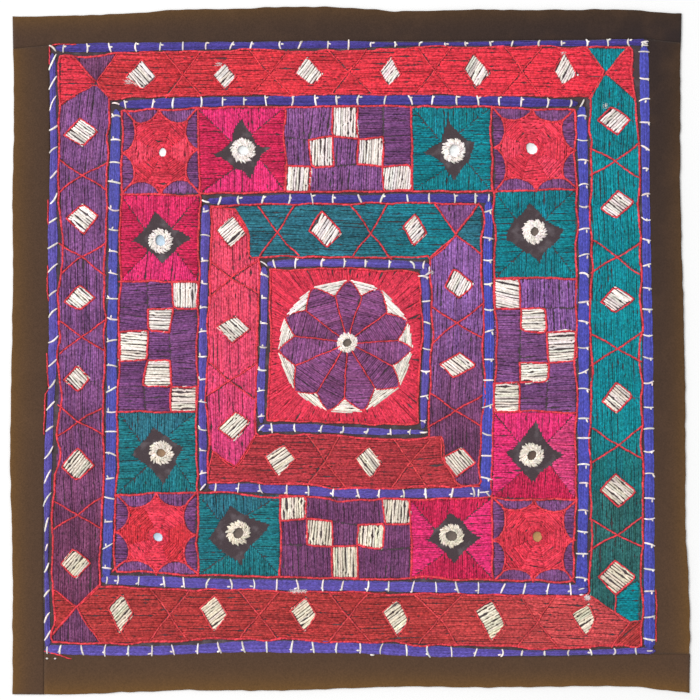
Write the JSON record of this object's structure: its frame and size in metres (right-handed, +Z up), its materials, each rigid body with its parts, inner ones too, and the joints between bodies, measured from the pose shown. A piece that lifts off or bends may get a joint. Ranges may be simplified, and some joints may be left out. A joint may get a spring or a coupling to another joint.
{
  "type": "embroidered tablecloth",
  "caption": "Flat square table cloth in traditional mirror-work embroidery: satin-stitched rows, stars and rosettes inside couched yarn frames, with a dark folded border.",
  "frame": {"origin": "middle of the cloth's box, on the surface that it lies on", "axes": "+Z up through the cloth, out of its embroidered face; +Y towards the top edge of the design; +X to the right of it"},
  "size_m": [0.544, 0.5502, 0.0031],
  "materials": {
    "ground_cloth": "plain weave cotton, matte",
    "border_cloth": "plain weave cotton, matte, faded brown at the edges",
    "blue_yarn": "laid yarn, soft sheen",
    "red_thread": "satin stitch floss, soft sheen",
    "crimson_thread": "satin stitch floss, soft sheen",
    "magenta_thread": "satin stitch floss, soft sheen",
    "purple_thread": "satin stitch floss, soft sheen",
    "teal_thread": "satin stitch floss, soft sheen",
    "ivory_thread": "satin stitch floss, soft sheen",
    "mirror": "small round mirror glass"
  },
  "bodies": {
    "root": {"ground_cloth": "ground_cloth", "border_top": "border_cloth", "border_right": "border_cloth", "border_bottom": "border_cloth", "border_left": "border_cloth", "couched_outer_top": "blue_yarn", "couched_outer_right": "blue_yarn", "couched_outer_bottom": "blue_yarn", "couched_outer_left": "blue_yarn", "couched_second_top": "blue_yarn", "couched_second_right": "blue_yarn", "couched_second_bottom": "blue_yarn", "couched_second_left": "blue_yarn", "couched_third_top": "blue_yarn", "couched_third_right": "blue_yarn", "couched_third_bottom": "blue_yarn", "couched_third_left": "blue_yarn", "couched_inner_top": "blue_yarn", "couched_inner_right": "blue_yarn", "couched_inner_bottom": "blue_yarn", "couched_inner_left": "blue_yarn", "row_outer_top": "red_thread", "row_outer_right": "teal_thread", "row_outer_bottom": "crimson_thread", "row_outer_left": "purple_thread", "row_inner_top": "teal_thread", "row_inner_right": "purple_thread", "row_inner_bottom": "crimson_thread", "row_inner_left": "red_thread", "rosette_top_left": "red_thread", "rosette_top_right": "red_thread", "rosette_bottom_right": "red_thread", "rosette_bottom_left": "red_thread", "star_top_left": "magenta_thread", "star_top_right": "teal_thread", "star_right_upper": "teal_thread", "star_right_lower": "magenta_thread", "star_bottom_right": "magenta_thread", "star_bottom_left": "teal_thread", "star_left_lower": "teal_thread", "star_left_upper": "magenta_thread", "checker_top": "purple_thread", "checker_right": "purple_thread", "checker_bottom": "purple_thread", "checker_left": "purple_thread", "centre_flower": "red_thread", "mirror_rosette_top_left": "mirror", "mirror_rosette_top_right": "mirror", "mirror_rosette_bottom_right": "mirror", "mirror_rosette_bottom_left": "mirror", "mirror_star_top_left": "mirror", "mirror_star_top_right": "mirror", "mirror_star_right_upper": "mirror", "mirror_star_right_lower": "mirror", "mirror_star_bottom_right": "mirror", "mirror_star_bottom_left": "mirror", "mirror_star_left_lower": "mirror", "mirror_star_left_upper": "mirror", "mirror_centre": "mirror"}
  },
  "joints": []
}
